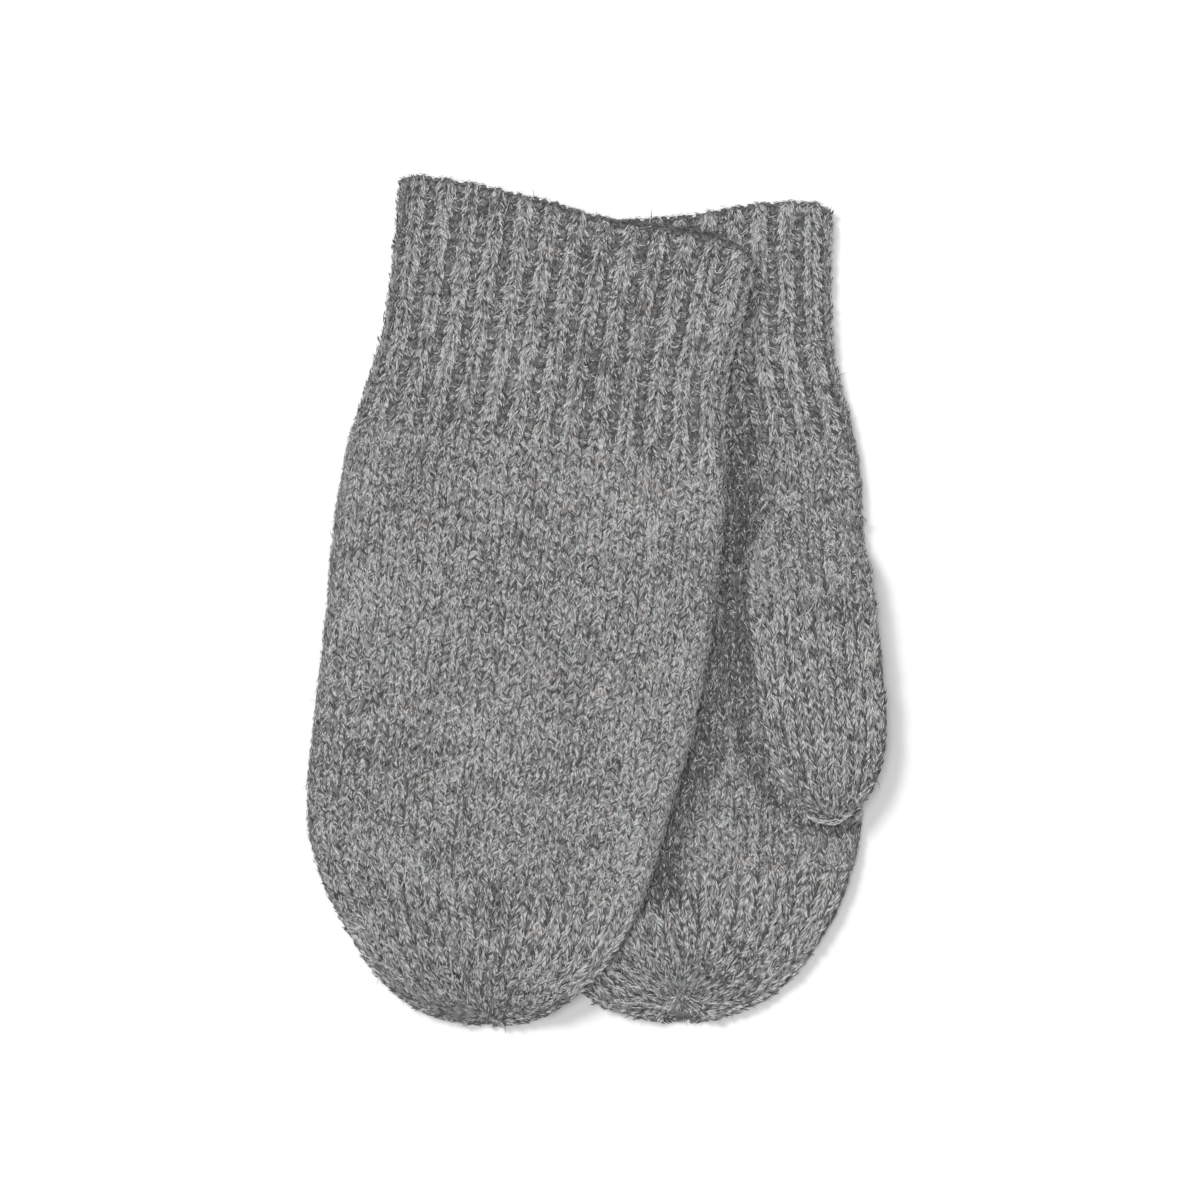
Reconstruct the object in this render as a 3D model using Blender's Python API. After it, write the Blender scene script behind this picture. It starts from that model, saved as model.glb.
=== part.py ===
# A pair of child's knitted mittens lying flat: the lower one palm up, the upper one on it, back of the hand up.
# X runs to the right of the view, Y towards the cuffs and Z up from the surface. Sizes are in millimetres until
# the meshes are made.

import math

import bmesh
import bpy
from mathutils import Vector

mm = 0.001
origin = Vector((0.61, -0.49, 0.0))     # middle of the pair, in the measures below

fold_depth = 5.0        # a whole mitten pressed flat, both layers and the gap between them
mouth_depth = 5.8       # the same at the open edge of the upper mitten's cuff
tip_depth = 3.6         # the same at the gathered fingertips
wall = 1.9              # knitted fabric
thumb_wall = 1.6
seam_gap = 0.3          # between pieces, and between the two mittens
droop_width = 26.0      # how far the upper mitten takes to sink from the lower one to the surface
mouth_setback = 1.5     # how far the upper layer of a cuff stops short of the lower layer
upper_mouth_bow = 2.0   # how far the middle of a cuff's open edge bulges out
lower_mouth_bow = 0.5

rib_count = 28
rib_height = 0.7
points_per_rib = 4
hand_points = 56
thumb_points = 20
base_columns = 5        # columns of the hand's mesh that the thumb hole takes

# Cuff and hand sections: left x, left y, right x, right y.
upper_cuff_rows = [
    (-37.3, 79.5, 29.4, 63.4),
    (-38.7, 65.6, 26.4, 51.9),
    (-41.0, 49.7, 23.7, 38.4),
    (-45.7, 34.7, 23.7, 24.8),
]
upper_hand_rows = [
    (-45.7, 34.7, 23.7, 24.8),
    (-47.6, 27.2, 23.4, 16.9),
    (-49.0, 18.4, 22.8, 7.9),
    (-49.7, 13.5, 22.3, 2.9),
    (-50.2, 8.6, 21.7, -2.4),
    (-51.0, -0.9, 19.9, -12.6),
    (-52.2, -12.2, 17.6, -24.4),
    (-53.5, -23.4, 14.6, -35.2),
    (-54.5, -33.8, 11.6, -45.2),
    (-54.4, -43.1, 8.9, -54.2),
    (-52.6, -51.0, 6.0, -61.2),
    (-49.6, -58.1, 2.6, -66.8),
    (-46.0, -64.6, -1.9, -71.6),
    (-42.0, -70.4, -6.5, -75.3),
    (-37.6, -74.6, -10.4, -77.9),
    (-33.4, -77.2, -13.6, -79.1),
    (-26.0, -79.4, -17.6, -79.9),
]
lower_cuff_rows = [
    (-22.6, 71.5, 43.3, 73.9),
    (-22.6, 57.6, 43.3, 60.0),
    (-22.3, 43.5, 43.9, 45.9),
    (-20.2, 29.3, 47.4, 31.8),
]
lower_hand_rows = [
    (-20.2, 29.3, 47.4, 31.8),
    (-19.5, 21.9, 48.7, 24.4),
    (-19.1, 12.5, 49.3, 15.0),
    (-18.9, 7.4, 49.6, 9.9),
    (-18.8, 2.4, 49.7, 4.9),
    (-18.7, -7.2, 49.9, -4.7),
    (-18.8, -18.5, 49.9, -15.9),
    (-18.9, -29.7, 49.7, -27.2),
    (-19.2, -40.1, 49.3, -37.5),
    (-18.6, -48.4, 48.5, -45.9),
    (-17.0, -54.8, 46.9, -52.5),
    (-14.2, -60.6, 44.5, -58.5),
    (-10.6, -66.0, 41.4, -64.1),
    (-6.8, -70.7, 37.9, -69.0),
    (-2.5, -74.4, 33.9, -73.1),
    (1.8, -76.9, 29.7, -76.0),
    (10.4, -79.2, 20.6, -78.9),
]
hole_rows = (2, 4)      # the thumb hole runs between these rows of a hand

# Thumb sections from its base on the palm: how far along and how high the palm side and the outer side are,
# then the left and right edges.
thumb_rows = [
    (7.3, 0.3, -7.3, 0.3, -10.1, 10.1),
    (7.7, 0.35, -4.6, 1.2, -10.5, 10.9),
    (8.1, 0.4, 0.6, 2.7, -10.9, 11.9),
    (9.4, 0.4, 7.0, 3.9, -11.0, 12.7),
    (17.0, 0.4, 16.0, 4.6, -10.9, 13.6),
    (24.4, 0.4, 24.4, 4.7, -10.3, 14.4),
    (32.2, 0.4, 32.2, 4.7, -9.4, 15.0),
    (38.4, 0.4, 38.4, 4.7, -8.3, 14.6),
    (43.5, 0.4, 43.5, 4.6, -6.2, 12.9),
    (46.8, 0.5, 46.8, 4.4, -3.6, 10.5),
    (49.0, 0.7, 49.0, 4.1, -0.8, 7.9),
    (50.2, 1.1, 50.2, 3.7, 1.5, 5.9),
]
lower_thumb_place = 0.836   # how far across the hand from its left edge the thumb starts
upper_thumb_place = 0.265


def clearScene():
    for thing in list(bpy.data.objects):
        bpy.data.objects.remove(thing)


def mix(a, b, share):
    return a + (b - a) * share


def smoothStep(share):
    share = min(max(share, 0.0), 1.0)
    return share * share * (3.0 - 2.0 * share)


def lowerEdgeX(y):
    # Left edge of the lower mitten at this y, which the upper mitten bends over
    rows = lower_cuff_rows + lower_hand_rows[1:]
    for above, below in zip(rows, rows[1:]):
        if y >= below[1]:
            return mix(above[0], below[0], min(max((above[1] - y) / (above[1] - below[1]), 0.0), 1.0))
    return rows[-1][0]


def upperFloor(x, y):
    # Height of what the upper mitten lies on: the lower mitten, its own thumb, or the surface
    lift = fold_depth + seam_gap
    over_thumb = smoothStep((40.0 - y) / 15.0) * smoothStep((y + 63.0) / 14.0)
    droop = smoothStep((lowerEdgeX(y) - x) / droop_width) * (1.0 - over_thumb)
    return lift * (1.0 - droop)


def lowerFloor(x, y):
    return 0.0


def stadium(count, half_width, half_depth):
    # Evenly spaced points round a flattened tube from its left edge over the top, with their outward directions
    straight = half_width - half_depth
    length = 4.0 * straight + 2.0 * math.pi * half_depth
    quarter = math.pi * half_depth / 2.0
    points = []
    for index in range(count):
        place = length * index / count
        side = 1.0
        if place > length / 2.0:
            place = length - place
            side = -1.0
        if place < quarter:
            angle = place / half_depth
            normal = (-math.cos(angle), math.sin(angle))
            centre = -straight
        elif place > quarter + 2.0 * straight:
            angle = (place - quarter - 2.0 * straight) / half_depth
            normal = (math.sin(angle), math.cos(angle))
            centre = straight
        else:
            normal = (0.0, 1.0)
            centre = place - quarter - straight
        points.append((centre + normal[0] * half_depth, side * normal[1] * half_depth))
    return points


def flatRing(row, count, depth, inset, floor, rib=0.0, setback=0.0, bow=0.0):
    # One ring of a mitten lying flat: row gives its two edges, inset makes the inside of the wall
    left = Vector(row[0:2])
    right = Vector(row[2:4])
    across = (right - left).normalized()
    along = Vector((across.y, -across.x))
    middle = (left + right) / 2.0
    half_width = (right - left).length / 2.0
    ridge = stadium(count, half_width - inset, depth / 2.0 - inset)
    valley = stadium(count, half_width - inset - rib, depth / 2.0 - inset - rib)
    ring = []
    for index in range(count):
        share = 0.0
        if rib > 0.0:
            share = 0.5 - 0.5 * math.cos(2.0 * math.pi * index / points_per_rib)
        v = mix(ridge[index][0], valley[index][0], share)
        h = mix(ridge[index][1], valley[index][1], share)
        back = setback * (0.5 + 0.5 * max(-1.0, min(1.0, 2.0 * h / depth)))
        back -= bow * (1.0 - (v / half_width) ** 2)
        place = middle + across * v + along * back
        ring.append(Vector((place.x, place.y, floor(place.x, place.y) + depth / 2.0 + h)))
    return ring


def thumbRing(row, inset, base, across, along, floor, up):
    # One ring of a thumb: it leaves the palm at base and bends over to lie along it
    low = Vector((row[0], row[1]))
    high = Vector((row[2], row[3]))
    depth = (high - low).length
    rise = (high - low).normalized()
    half_width = (row[5] - row[4]) / 2.0
    centre = (row[4] + row[5]) / 2.0
    ring = []
    for v, h in stadium(thumb_points, half_width - inset, depth / 2.0 - inset):
        side = low + rise * (depth / 2.0 + h)
        place = base + across * ((centre + v) * up) + along * side.x
        ring.append(Vector((place.x, place.y, floor + side.y * up)))
    return ring


def shrunkRow(row, amount):
    # A row moved in from both of its edges
    left = Vector(row[0:2])
    right = Vector(row[2:4])
    across = (right - left).normalized() * amount
    left += across
    right -= across
    return (left.x, left.y, right.x, right.y)


def movedRow(row, amount):
    # A row moved along the mitten, towards the fingertips if the amount is positive
    left = Vector(row[0:2])
    right = Vector(row[2:4])
    across = (right - left).normalized()
    shift = Vector((across.y, -across.x)) * amount
    left += shift
    right += shift
    return (left.x, left.y, right.x, right.y)


def addRings(mesh, rings):
    return [[mesh.verts.new((point - origin) * mm) for point in ring] for ring in rings]


def joinRings(mesh, rings, skipped=frozenset()):
    count = len(rings[0])
    for row, (first, second) in enumerate(zip(rings, rings[1:])):
        for column in range(count):
            after = (column + 1) % count
            if (row, column) not in skipped:
                mesh.faces.new((first[column], first[after], second[after], second[column]))


def closeRing(mesh, ring):
    middle = sum((vert.co for vert in ring), Vector()) / len(ring)
    centre = mesh.verts.new(middle)
    for index, vert in enumerate(ring):
        mesh.faces.new((vert, ring[(index + 1) % len(ring)], centre))


def holeEdge(cells, count):
    # The outline of a block of skipped cells, as pairs of (row, column) points
    edges = []
    for row, column in cells:
        after = (column + 1) % count
        if (row - 1, column) not in cells:
            edges.append(((row, column), (row, after)))
        if (row + 1, column) not in cells:
            edges.append(((row + 1, column), (row + 1, after)))
        if (row, (column - 1) % count) not in cells:
            edges.append(((row, column), (row + 1, column)))
        if (row, after) not in cells:
            edges.append(((row, after), (row + 1, after)))
    return edges


def tube(name, outer, inner, closed, colour, cells=frozenset()):
    # A wall between an outer and an inner set of rings, open at its first ring
    mesh = bmesh.new()
    outer_verts = addRings(mesh, outer)
    inner_verts = addRings(mesh, inner)
    count = len(outer[0])
    joinRings(mesh, outer_verts, cells)
    joinRings(mesh, inner_verts, cells)
    joinRings(mesh, [outer_verts[0], inner_verts[0]])
    if closed:
        closeRing(mesh, outer_verts[-1])
        closeRing(mesh, inner_verts[-1])
    else:
        joinRings(mesh, [outer_verts[-1], inner_verts[-1]])
    for (row_a, column_a), (row_b, column_b) in holeEdge(cells, count):
        mesh.faces.new((
            outer_verts[row_a][column_a],
            outer_verts[row_b][column_b],
            inner_verts[row_b][column_b],
            inner_verts[row_a][column_a],
        ))
    bmesh.ops.recalc_face_normals(mesh, faces=mesh.faces)
    if mesh.calc_volume(signed=True) < 0.0:
        bmesh.ops.reverse_faces(mesh, faces=mesh.faces)
    data = bpy.data.meshes.new(name)
    mesh.to_mesh(data)
    mesh.free()
    data.materials.append(woolMaterial(name, colour))
    thing = bpy.data.objects.new(name, data)
    pair.objects.link(thing)
    return thing


def woolMaterial(name, colour):
    material = bpy.data.materials.new(name)
    material.use_nodes = True
    shader = material.node_tree.nodes["Principled BSDF"]
    shader.inputs["Base Color"].default_value = (*colour, 1.0)
    shader.inputs["Roughness"].default_value = 0.95
    return material


def cuff(name, rows, floor, open_depth, open_bow):
    rows = rows[:-1] + [movedRow(rows[-1], -seam_gap / 2.0)]
    outer = []
    inner = []
    for index, row in enumerate(rows):
        depth = mix(open_depth, fold_depth, min(index / 2.0, 1.0))
        setback = mouth_setback if index == 0 else 0.0
        bow = open_bow if index == 0 else 0.0
        count = rib_count * points_per_rib
        outer.append(flatRing(row, count, depth, 0.0, floor, rib_height, setback, bow))
        inner.append(flatRing(row, count, depth, wall, floor, 0.0, setback, bow))
    tube(name, outer, inner, False, (0.21, 0.21, 0.21))


def thumbColumns(rows, place, top):
    # The columns nearest to where the thumb starts, on the upper or the lower layer
    row = rows[(hole_rows[0] + hole_rows[1]) // 2]
    width = (Vector(row[2:4]) - Vector(row[0:2])).length
    points = stadium(hand_points, width / 2.0, fold_depth / 2.0)
    wanted = (place - 0.5) * width
    layer = range(0, hand_points // 2) if top else range(hand_points // 2, hand_points)
    middle = min(layer, key=lambda index: abs((points[index][0] + points[(index + 1) % hand_points][0]) / 2.0 - wanted))
    return range(middle - base_columns // 2, middle + base_columns // 2 + 1)


def hand(name, rows, floor, place, top):
    rows = [movedRow(rows[0], seam_gap / 2.0)] + rows[1:]
    last = len(rows) - 1
    outer = []
    inner = []
    for index, row in enumerate(rows):
        depth = mix(fold_depth, tip_depth, smoothStep((index - last + 5.0) / 5.0))
        outer.append(flatRing(row, hand_points, depth, 0.0, floor))
        if index < last:
            inner.append(flatRing(row, hand_points, depth, wall if index < last - 4 else wall * 0.8, floor))
    # The inside ends just short of the gather
    end = movedRow(shrunkRow(rows[-2], 1.0), 0.6)
    inner.append(flatRing(end, hand_points, tip_depth, wall * 0.8, floor))
    cells = frozenset(
        (row, column)
        for row in range(*hole_rows)
        for column in thumbColumns(rows, place, top)
    )
    tube(name, outer, inner, True, (0.24, 0.24, 0.24), cells)


def thumb(name, rows, floor, place, top):
    # The thumb stands on the hole in the middle row of the hand
    row = rows[(hole_rows[0] + hole_rows[1]) // 2]
    left = Vector(row[0:2])
    right = Vector(row[2:4])
    across = (right - left).normalized()
    along = Vector((across.y, -across.x))
    columns = thumbColumns(rows, place, top)
    width = (right - left).length
    points = stadium(hand_points, width / 2.0, fold_depth / 2.0)
    v = (points[columns[0]][0] + points[columns[-1] + 1][0]) / 2.0
    base = (left + right) / 2.0 + across * v
    up = 1.0 if top else -1.0
    palm = floor(base.x, base.y) + (fold_depth if top else 0.0)
    outer = [thumbRing(section, 0.0, base, across, along, palm, up) for section in thumb_rows]
    inner = [thumbRing(section, thumb_wall, base, across, along, palm, up) for section in thumb_rows[:-1]]
    tube(name, outer, inner, True, (0.23, 0.23, 0.23))


clearScene()
pair = bpy.data.collections.new("pair_of_knitted_mittens")
bpy.context.scene.collection.children.link(pair)

cuff("lower_cuff", lower_cuff_rows, lowerFloor, fold_depth, lower_mouth_bow)
hand("lower_hand", lower_hand_rows, lowerFloor, lower_thumb_place, True)
thumb("lower_thumb", lower_hand_rows, lowerFloor, lower_thumb_place, True)
cuff("upper_cuff", upper_cuff_rows, upperFloor, mouth_depth, upper_mouth_bow)
hand("upper_hand", upper_hand_rows, upperFloor, upper_thumb_place, False)
thumb("upper_thumb", upper_hand_rows, upperFloor, upper_thumb_place, False)
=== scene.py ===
import math

import bmesh
import bpy
import numpy as np
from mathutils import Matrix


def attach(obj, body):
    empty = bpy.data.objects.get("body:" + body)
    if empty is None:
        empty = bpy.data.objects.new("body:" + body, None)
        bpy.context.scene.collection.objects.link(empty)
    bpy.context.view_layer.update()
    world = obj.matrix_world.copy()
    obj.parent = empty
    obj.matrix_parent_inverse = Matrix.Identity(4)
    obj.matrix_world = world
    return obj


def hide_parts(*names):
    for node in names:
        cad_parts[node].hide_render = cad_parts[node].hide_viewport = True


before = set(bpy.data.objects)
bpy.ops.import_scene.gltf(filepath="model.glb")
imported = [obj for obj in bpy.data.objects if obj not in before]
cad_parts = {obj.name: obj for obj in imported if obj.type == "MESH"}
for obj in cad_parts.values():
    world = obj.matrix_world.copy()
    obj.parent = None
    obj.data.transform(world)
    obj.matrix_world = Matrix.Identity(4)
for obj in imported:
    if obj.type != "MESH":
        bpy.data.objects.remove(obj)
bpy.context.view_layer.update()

mm = 0.001
pairMiddle = np.array((0.61, -0.49, 0.0))  # middle of the pair in the tables' millimetres

# Sections of a mitten, in mm: left x, left y, right x, right y, seen from above with the cuffs at the top
upperRows = {
    "cuff": [
        (-37.3, 79.5, 29.4, 63.4), (-38.7, 65.6, 26.4, 51.9), (-41.0, 49.7, 23.7, 38.4),
        (-45.7, 34.7, 23.7, 24.8),
    ],
    "hand": [
        (-47.6, 27.2, 23.4, 16.9), (-49.0, 18.4, 22.8, 7.9), (-49.7, 13.5, 22.3, 2.9), (-50.2, 8.6, 21.7, -2.4),
        (-51.0, -0.9, 19.9, -12.6), (-52.2, -12.2, 17.6, -24.4), (-53.5, -23.4, 14.6, -35.2),
        (-54.5, -33.8, 11.6, -45.2), (-54.4, -43.1, 8.9, -54.2), (-52.6, -51.0, 6.0, -61.2),
        (-49.6, -58.1, 2.6, -66.8), (-46.0, -64.6, -1.9, -71.6), (-42.0, -70.4, -6.5, -75.3),
        (-37.6, -74.6, -10.4, -77.9), (-33.4, -77.2, -13.6, -79.1), (-26.0, -79.4, -17.6, -79.9),
    ],
}
lowerRows = {
    "cuff": [
        (-22.6, 71.5, 43.3, 73.9), (-22.6, 57.6, 43.3, 60.0), (-22.3, 43.5, 43.9, 45.9),
        (-20.2, 29.3, 47.4, 31.8),
    ],
    "hand": [
        (-19.5, 21.9, 48.7, 24.4), (-19.1, 12.5, 49.3, 15.0), (-18.9, 7.4, 49.6, 9.9), (-18.8, 2.4, 49.7, 4.9),
        (-18.7, -7.2, 49.9, -4.7), (-18.8, -18.5, 49.9, -15.9), (-18.9, -29.7, 49.7, -27.2),
        (-19.2, -40.1, 49.3, -37.5), (-18.6, -48.4, 48.5, -45.9), (-17.0, -54.8, 46.9, -52.5),
        (-14.2, -60.6, 44.5, -58.5), (-10.6, -66.0, 41.4, -64.1), (-6.8, -70.7, 37.9, -69.0),
        (-2.5, -74.4, 33.9, -73.1), (1.8, -76.9, 29.7, -76.0), (10.4, -79.2, 20.6, -78.9),
    ],
}

# Thumb sections from its base, in mm: along and height of the palm side, the same of the outer side, left, right
thumbRows = [
    (7.3, 0.3, -7.3, 0.3, -10.1, 10.1), (7.7, 0.35, -4.6, 1.2, -10.5, 10.9), (8.1, 0.4, 0.6, 2.7, -10.9, 11.9),
    (9.4, 0.4, 7.0, 3.9, -11.0, 12.7), (17.0, 0.4, 16.0, 4.6, -10.9, 13.1), (24.4, 0.4, 24.4, 4.7, -10.3, 13.7),
    (32.2, 0.4, 32.2, 4.7, -9.4, 14.0), (38.4, 0.4, 38.4, 4.7, -8.3, 13.4), (43.5, 0.4, 43.5, 4.6, -6.2, 11.8),
    (46.8, 0.5, 46.8, 4.4, -3.6, 9.9), (49.0, 0.7, 49.0, 4.1, -0.8, 7.9), (50.2, 1.1, 50.2, 3.7, 1.5, 5.9),
]

thumbSeat = {"row": 6, "upper": 0.265, "lower": 0.836}      # the mitten's section, and how far across it

cloth = {
    "foldDepth": 5.0,  # a mitten pressed flat
    "mouthDepth": 5.8,  # the open edge of the upper cuff
    "mouthReach": 28.0,  # length over which that goes over to the pressed depth
    "mouthFade": 16.0,  # length over which the bulge of the open edge dies out
    "tipDepth": 3.6,
    "tipReach": 16.0,
    "wall": 1.9,
    "innerSlack": 0.35,  # how much thinner the plain cloth is, so that the stitches make up the wall
    "innerEnd": 3.0,  # how far the inside stops short of the gather
    "closedShare": 0.92,  # how far the plain cloth follows the gather
    "gap": 0.3,  # between the two mittens
    "droopWidth": 26.0,  # how far the upper mitten takes to sink to the surface
    "skinDepth": 0.70,  # how far the plain cloth lies under the stitches
    "waves": 7,  # soft unevenness of cloth that has been worn
    "waveLengths": (13.0, 34.0),
    "waveSpread": 2.6,
    "waveHeight": 0.22,
    "ribDepth": 0.62,
    "ribFade": 3.0,  # length over which the ribs die out into the hand
    "tipGroove": 0.45,  # grooves between the coarse wales of the tip
    "tipFade": 6.0,  # length over which they begin
    "thumbGroove": 0.35,
    "paintedCreaseShade": 0.28,  # painted shade: how much darker the wool is drawn for each mm of a trough
    "fuzzHeight": 1.6,  # no loose fibres lower than this
}

capLook = {
    "length": 7.0,  # how far a mitten's stitches run past its last section, into the gather
    "reach": 0.9,  # how far the under side goes on before it turns up
    "reachShare": 0.6,
    "roundness": 0.62,
    "turnLength": 20.0,  # length over which the top is drawn back to the gather
    "dimple": 0.7,
    "gatherShare": 0.58,  # where the gather lies on what the turn of the tip leaves open
    "thumbLength": 2.4,
    "thumbBulge": 1.0,
}

# How far the open edges of a cuff bulge out, at places across from its middle: the top layer and the one under it
upperMouth = {
    "top": [
        (-34.3, -0.6), (-32.0, 0.2), (-25.5, 0.9), (-19.1, 1.3), (-12.7, 1.2), (-6.2, 1.3), (0.2, 0.7),
        (2.7, 0.4), (9.1, 0.4), (15.6, 1.1), (22.0, 1.7), (28.5, 1.3), (32.0, 0.4), (34.3, -1.2)],
    "under": [
        (-34.3, -0.8), (-25.0, 0.5), (-12.0, 0.8), (-3.0, 0.9), (2.7, 1.0), (6.6, 1.3),
        (9.3, 1.6), (15.0, 2.3), (20.0, 2.9), (25.0, 3.1), (29.0, 2.6), (34.3, -0.6)],
}
lowerMouth = {
    "top": [
        (-33.0, -0.6), (-5.3, -1.5), (0.9, -1.4), (7.1, -1.2), (13.5, -0.1),
        (19.7, 0.6), (25.9, 0.8), (31.0, 0.3), (33.0, -0.9)],
    "under": [
        (-33.0, -0.6), (-5.3, -1.3), (0.9, -1.2), (7.1, -1.0), (13.5, 0.2),
        (19.7, 0.9), (25.9, 1.1), (31.0, 0.5), (33.0, -0.8)],
}

# Soft troughs in the lower palm: a line of points, its half width and its depth
palmCreases = [
    ([(27.0, 31.1), (27.0, 28.1), (26.7, 18.8), (26.0, 9.4), (25.0, 1.9), (24.0, -4.7),
      (22.6, -9.4), (21.2, -18.8), (19.2, -28.1), (15.4, -37.5), (13.0, -46.9), (10.6, -56.3)], 3.6, 1.4),
    ([(29.5, 60.0), (26.5, 45.0), (25.7, 31.1)], 1.9, 1.1),
    ([(24.8, 2.0), (25.0, -7.5), (25.6, -16.0)], 3.2, 1.9),
    ([(25.6, -16.0), (27.6, -27.2)], 2.2, 1.6),
    ([(27.6, -27.2), (30.1, -33.8), (33.6, -38.9), (38.4, -42.3), (43.2, -43.4), (47.0, -42.4)], 1.6, 1.0),
]

knit = {
    "ribs": 28,
    "ribCourse": 1.74,
    "wales": 56,
    "course": 1.83,
    "tipWales": 36,
    "tipCourse": 2.1,
    "tipLength": 27.0,
    "thumbWales": 20,
    "thumbCourse": 1.87,
    "unevenness": 0.06,
    "cuffStart": 0.3,  # how far the cuff's stitches keep off the open edge
    "insideReach": 9.0,  # how far stitches are made inside the mouth
    "pickUp": 17.3,  # where the thumb is picked up: matted cloth before it, clear stitches after it
    "pickUpArch": 18.0,
    "pickUpTop": 0.22,  # the arch's highest place, as a share of the way round
    "pickUpWidth": 0.8,  # of the course after it, drawn darker with painted shade, as a share of a course
    # painted shade in the groove of that course
    "pickUpShade": -0.16,
    "pickUpSink": 0.35,
}


def mixValues(a, b, share):
    return a + (b - a) * share


def smoothStep(share):
    share = np.clip(share, 0.0, 1.0)
    return share * share * (3.0 - 2.0 * share)


def lengthsAlong(line):
    # Distance of each point of a line from its first one
    return np.concatenate(([0.0], np.cumsum(np.linalg.norm(np.diff(line, axis=0), axis=1))))


def unit(vectors):
    return vectors / np.linalg.norm(vectors, axis=1)[:, None]


def spline(knots, rows, places):
    # Smooth curve through the rows, which stand at the knots
    rows = np.asarray(rows, float)
    slopes = np.gradient(rows, knots, axis=0)
    places = np.clip(places, knots[0], knots[-1])
    first = np.clip(np.searchsorted(knots, places, side="right") - 1, 0, len(knots) - 2)
    span = (knots[first + 1] - knots[first])[:, None]
    share = (places - knots[first])[:, None] / span
    square = share * share
    cube = square * share
    return (
        (2 * cube - 3 * square + 1) * rows[first]
        + (cube - 2 * square + share) * span * slopes[first]
        + (3 * square - 2 * cube) * rows[first + 1]
        + (cube - square) * span * slopes[first + 1]
    )


def stadium(fraction, halfWidth, halfDepth):
    # Point and outward direction at this fraction of the way round a flattened tube, from its left edge over the top
    straight = np.maximum(halfWidth - halfDepth, 0.01)
    length = 4.0 * straight + 2.0 * math.pi * halfDepth
    place = np.mod(fraction, 1.0) * length
    side = np.where(place > length / 2.0, -1.0, 1.0)
    place = np.where(place > length / 2.0, length - place, place)
    quarter = math.pi * halfDepth / 2.0
    leftAngle = np.clip(place / halfDepth, 0.0, math.pi / 2.0)
    rightAngle = np.clip((place - quarter - 2.0 * straight) / halfDepth, 0.0, math.pi / 2.0)
    onLeft = place < quarter
    onRight = place > quarter + 2.0 * straight
    normalV = np.where(onLeft, -np.cos(leftAngle), np.where(onRight, np.sin(rightAngle), 0.0))
    normalH = np.where(onLeft, np.sin(leftAngle), np.where(onRight, np.cos(rightAngle), 1.0))
    centre = np.where(onLeft, -straight, np.where(onRight, straight, place - quarter - straight))
    return centre + normalV * halfDepth, side * normalH * halfDepth, normalV, side * normalH


def waves(x, y, seed):
    # Low, broad unevenness from a few crossing waves
    draw = np.random.default_rng(seed)
    total = np.zeros_like(x)
    for index in range(cloth["waves"]):
        angle = draw.uniform(0.0, math.pi)
        length = draw.uniform(*cloth["waveLengths"])
        phase = draw.uniform(0.0, 2.0 * math.pi)
        total += np.sin((x * math.cos(angle) + y * math.sin(angle)) * 2.0 * math.pi / length + phase)
    return total / cloth["waveSpread"]


def creaseDepth(x, y, creases):
    # How deep the troughs are here, each with a rounded section
    total = np.zeros_like(x)
    for line, halfWidth, depth in creases:
        line = np.array(line)
        nearest = np.full_like(x, 1.0e9)
        for start, end in zip(line[:-1], line[1:]):
            span = end - start
            share = np.clip(((x - start[0]) * span[0] + (y - start[1]) * span[1]) / span.dot(span), 0.0, 1.0)
            nearest = np.minimum(nearest, np.hypot(x - start[0] - share * span[0], y - start[1] - share * span[1]))
        total = np.maximum(total, depth * np.exp(-(nearest / halfWidth) ** 2))
    return total


lowerEdge = np.array([row[:2] for row in lowerRows["cuff"] + lowerRows["hand"]])
# Where the hidden thumb lifts the upper mitten
hiddenThumb = {"top": 40.0, "topFade": 15.0, "bottom": -63.0, "bottomFade": 14.0}


def upperFloor(x, y):
    # Height of what the upper mitten lies on: the lower one, its own thumb, or the surface
    lift = cloth["foldDepth"] + cloth["gap"]
    edge = np.interp(-y, -lowerEdge[:, 1], lowerEdge[:, 0])
    overThumb = smoothStep((hiddenThumb["top"] - y) / hiddenThumb["topFade"])
    overThumb = overThumb * smoothStep((y - hiddenThumb["bottom"]) / hiddenThumb["bottomFade"])
    droop = smoothStep((edge - x) / cloth["droopWidth"]) * (1.0 - overThumb)
    return lift * (1.0 - droop)


def lowerFloor(x, y):
    return np.zeros_like(x)


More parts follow.
